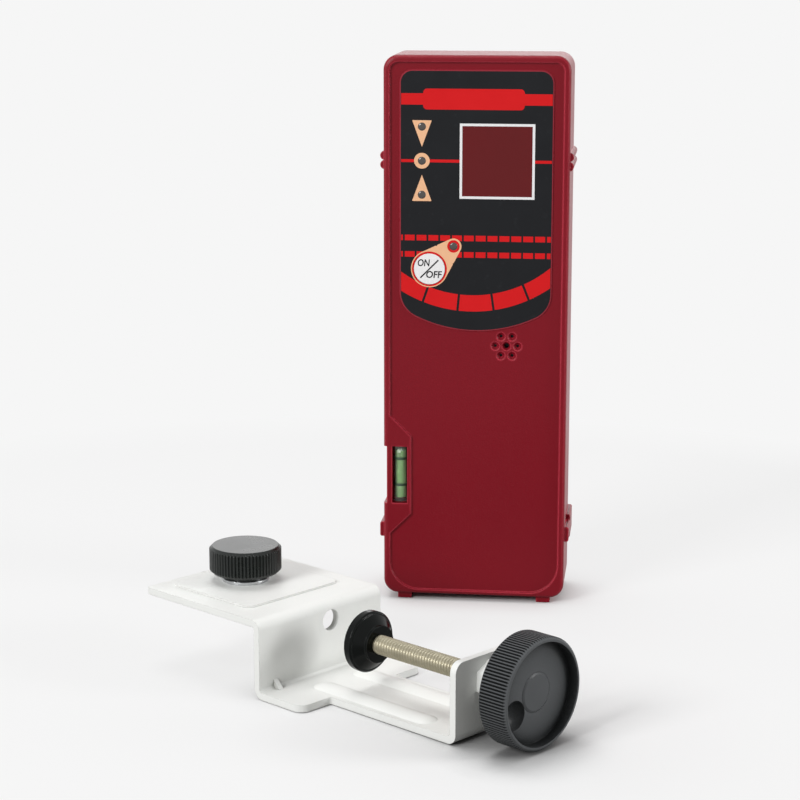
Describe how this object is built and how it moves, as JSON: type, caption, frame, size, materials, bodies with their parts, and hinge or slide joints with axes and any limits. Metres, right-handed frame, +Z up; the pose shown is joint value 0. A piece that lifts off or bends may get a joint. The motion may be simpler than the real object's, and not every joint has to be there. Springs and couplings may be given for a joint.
{
  "type": "laser receiver",
  "caption": "Upright hand-held laser receiver with sensor window, indicator lights, sounder and level vial, beside its bent-sheet staff clamp with handwheel and mount knob.",
  "frame": {"origin": "on the floor, under the middle of the box round the receiver and its clamp", "axes": "+Z up, the receiver's display looks along -Y and its thread opens along +Y"},
  "size_m": [0.1244, 0.1646, 0.1683],
  "materials": {
    "red_case": "dark red gloss moulding with a fine texture",
    "panel_print": "black printed overlay with red and white marks",
    "red_filter": "dark red clear filter",
    "white_key": "white key, smooth",
    "board": "green board",
    "component": "black moulded component",
    "led": "red lamp",
    "steel": "bright steel",
    "vial_clear": "clear acrylic",
    "vial_liquid": "clear green liquid",
    "battery_can": "plain dark can",
    "lead": "insulated lead",
    "brass": "turned brass",
    "white_coat": "white powder coat on sheet steel",
    "zinc": "yellowish zinc plate",
    "black_plastic": "black moulded plastic"
  },
  "bodies": {
    "receiver": {"front_shell": "red_case", "rear_shell": "red_case", "display_panel": "panel_print", "sensor_window": "red_filter", "indicator_lenses": "red_filter", "circuit_board": "board", "photodiode_array": "component", "indicator_leds": "led", "button_switch": "component", "sounder": "component", "control_chip": "component", "board_screws": "steel", "case_screws": "steel", "level_vial": "vial_clear", "vial_liquid": "vial_liquid", "vial_plug": "vial_clear", "battery": "battery_can", "battery_snap": "component", "battery_leads": "lead", "door_hinge_pin": "steel", "thread_insert": "brass", "bracket": "white_coat", "screw_nut": "white_coat"},
    "power_button": {"power_button": "white_key"},
    "battery_door": {"battery_door": "red_case"},
    "mount_knob": {"knob_grip": "black_plastic", "knob_stud": "zinc", "knob_washer": "steel", "stud_ring": "steel"},
    "pressure_pad": {"pressure_pad": "black_plastic"},
    "clamp_screw": {"clamp_screw": "zinc", "handwheel": "black_plastic", "wheel_cap": "black_plastic"}
  },
  "joints": [
    {"name": "power_button_press", "type": "slide", "parent": "receiver", "child": "power_button", "axis": [0, 1, 0], "range_m": [0, 0.00045], "stiffness_N_per_m": 300},
    {"name": "battery_door_hinge", "type": "hinge", "parent": "receiver", "child": "battery_door", "pos_m": [0.0287, 0.0807, 0.0079], "axis": [-1, 0, 0], "range_deg": [0, 90]},
    {"name": "mount_knob_turn", "type": "hinge", "parent": "receiver", "child": "mount_knob", "pos_m": [-0.03566, -0.00354, 0.03], "axis": [0, 0, 1], "continuous": true},
    {"name": "pad_slide", "type": "slide", "parent": "receiver", "child": "pressure_pad", "axis": [-0.7986, 0.6018, 0], "range_m": [-0.0361, 0.0046]},
    {"name": "clamp_screw_turn", "type": "hinge", "parent": "pressure_pad", "child": "clamp_screw", "pos_m": [-0.0109, -0.0222, 0.0153], "axis": [-0.7986, 0.6018, 0], "range_deg": [-12960, 1620]}
  ],
  "couplings": [
    {"joint": "pad_slide", "follows": "clamp_screw_turn", "m_per_rad": 0.00015915}
  ]
}
